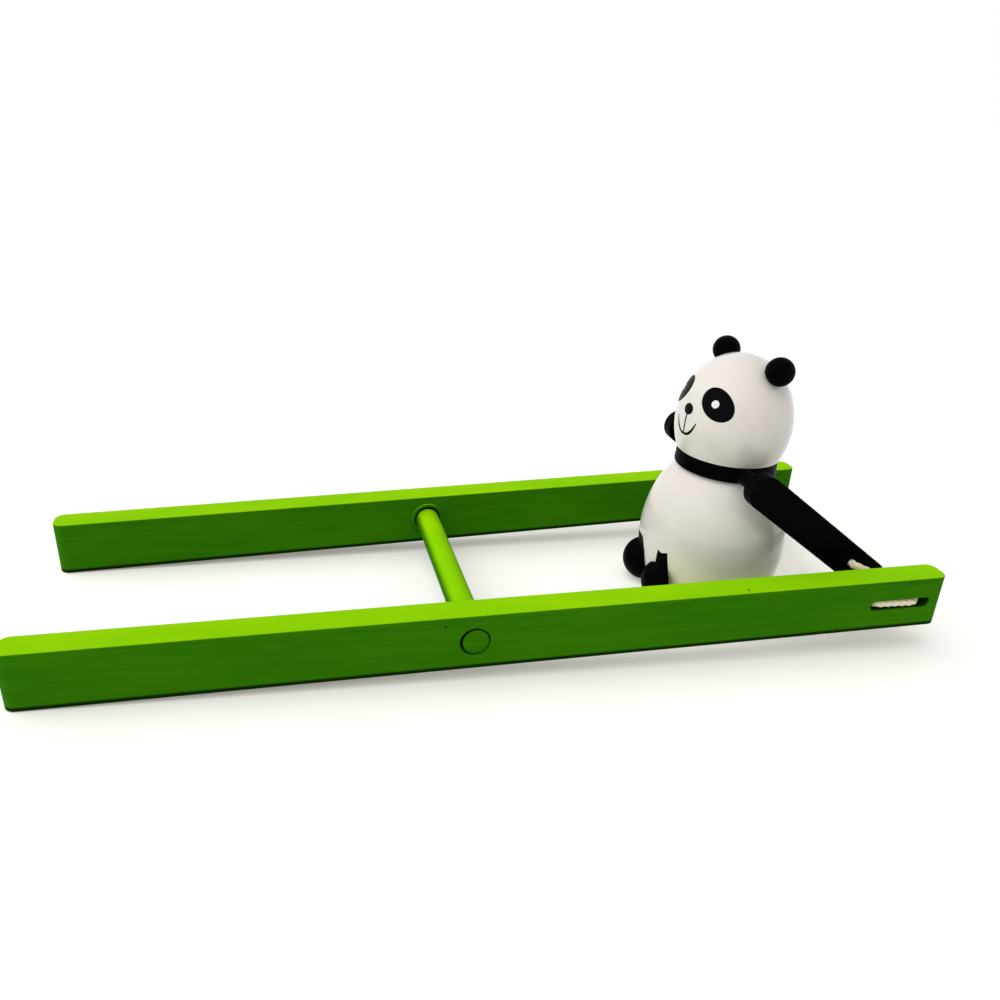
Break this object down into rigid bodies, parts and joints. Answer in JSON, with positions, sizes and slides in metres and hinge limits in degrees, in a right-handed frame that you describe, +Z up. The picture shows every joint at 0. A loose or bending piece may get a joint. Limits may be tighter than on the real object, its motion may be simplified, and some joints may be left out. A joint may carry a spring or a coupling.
{
  "type": "pull-string toy",
  "caption": "Squeeze acrobat toy: two wooden rails on a loose crossbar and a turned panda that somersaults on a twisted string between them.",
  "frame": {"origin": "on the floor under the centre of the toy's bounding box", "axes": "+X along the rails from the handle ends to the string ends, +Z up; the panda faces -X"},
  "size_m": [0.27, 0.0954, 0.0858],
  "materials": {
    "green_paint": "satin green stain over fine straight grain",
    "white_lacquer": "glossy white lacquer on turned wood",
    "black_paint": "satin black paint on wood",
    "cotton": "matt laid cotton cord, natural cream",
    "bare_wood": "bare wooden dowel, hidden"
  },
  "bodies": {
    "crossbar": {"crossbar": "green_paint", "left_crossing_front": "cotton", "left_crossing_rear": "cotton", "right_crossing_front": "cotton", "right_crossing_rear": "cotton"},
    "left_rail": {"left_rail": "green_paint", "left_string_loop": "cotton"},
    "right_rail": {"right_rail": "green_paint", "right_string_front_end": "cotton", "right_string_rear_end": "cotton", "string_knot": "cotton"},
    "left_arm": {"left_arm": "black_paint", "hand_string_front": "cotton", "hand_string_rear": "cotton"},
    "panda": {"body": "white_lacquer", "neck_ring": "black_paint", "head": "white_lacquer", "neck_dowel": "bare_wood", "left_ear": "black_paint", "right_ear": "black_paint", "left_ear_peg": "bare_wood", "right_ear_peg": "bare_wood", "left_foot": "black_paint", "right_foot": "black_paint", "left_foot_peg": "bare_wood", "right_foot_peg": "bare_wood", "left_shoulder_peg": "black_paint", "right_shoulder_peg": "black_paint", "left_shoulder_spacer": "black_paint", "right_shoulder_spacer": "black_paint"},
    "right_arm": {"right_arm": "black_paint"}
  },
  "joints": [
    {"name": "left_rail_rock", "type": "hinge", "parent": "crossbar", "child": "left_rail", "pos_m": [-0.01409, -0.03905, 0.0128], "axis": [-0.0349, 0, 0.9994], "range_deg": [-1.3, 1]},
    {"name": "right_rail_rock", "type": "hinge", "parent": "crossbar", "child": "right_rail", "pos_m": [-0.01409, 0.03905, 0.0128], "axis": [-0.0349, 0, 0.9994], "range_deg": [-1, 1.3]},
    {"name": "left_arm_swing", "type": "hinge", "parent": "crossbar", "child": "left_arm", "pos_m": [0.11602, 0, 0.02068], "axis": [0, 1, 0], "continuous": true, "deforming": ["left_crossing_front", "left_crossing_rear", "right_crossing_front", "right_crossing_rear"]},
    {"name": "left_shoulder", "type": "hinge", "parent": "left_arm", "child": "panda", "pos_m": [0.07541, 0, 0.0489], "axis": [0, 1, 0], "range_deg": [-15, 250]},
    {"name": "right_shoulder", "type": "hinge", "parent": "panda", "child": "right_arm", "pos_m": [0.07541, 0, 0.0489], "axis": [0, 1, 0], "range_deg": [-250, 15]}
  ],
  "couplings": [
    {"joint": "right_rail_rock", "follows": "left_rail_rock", "ratio": -1},
    {"joint": "right_shoulder", "follows": "left_shoulder", "ratio": -1}
  ]
}
